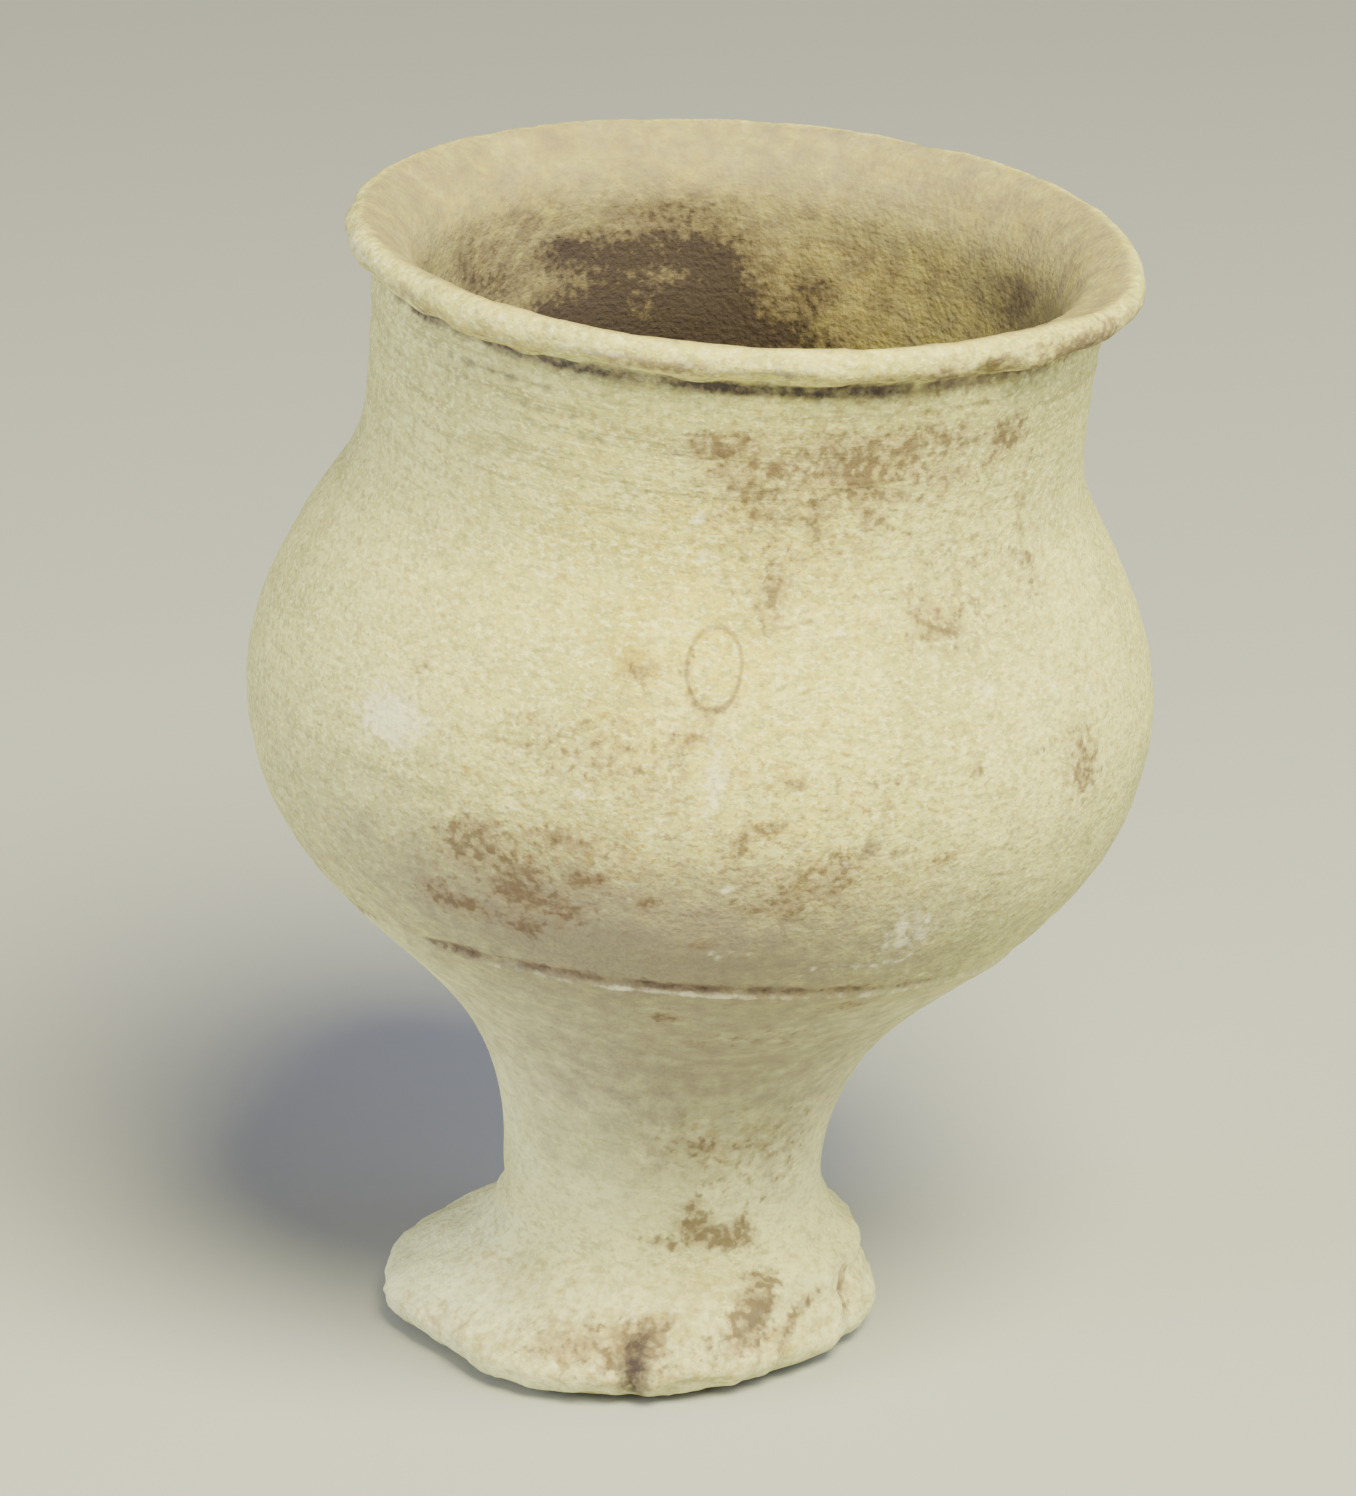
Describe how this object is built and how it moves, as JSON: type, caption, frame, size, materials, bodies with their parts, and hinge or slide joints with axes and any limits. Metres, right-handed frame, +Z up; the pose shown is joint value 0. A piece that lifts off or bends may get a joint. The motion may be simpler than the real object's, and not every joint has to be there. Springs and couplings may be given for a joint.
{
  "type": "votive goblet",
  "caption": "Small thrown clay goblet: solid stem on a round foot, round-bellied bowl with upright neck and rolled lip, leaning a little to one side.",
  "frame": {"origin": "centre of the flat underside of the foot, on the ground", "axes": "+Z up, the goblet leans towards +X, -Y is the side that the picture shows"},
  "size_m": [0.0649, 0.065, 0.0849],
  "materials": {
    "fired_clay": "unglazed, matt"
  },
  "bodies": {
    "root": {"goblet": "fired_clay"}
  },
  "joints": []
}
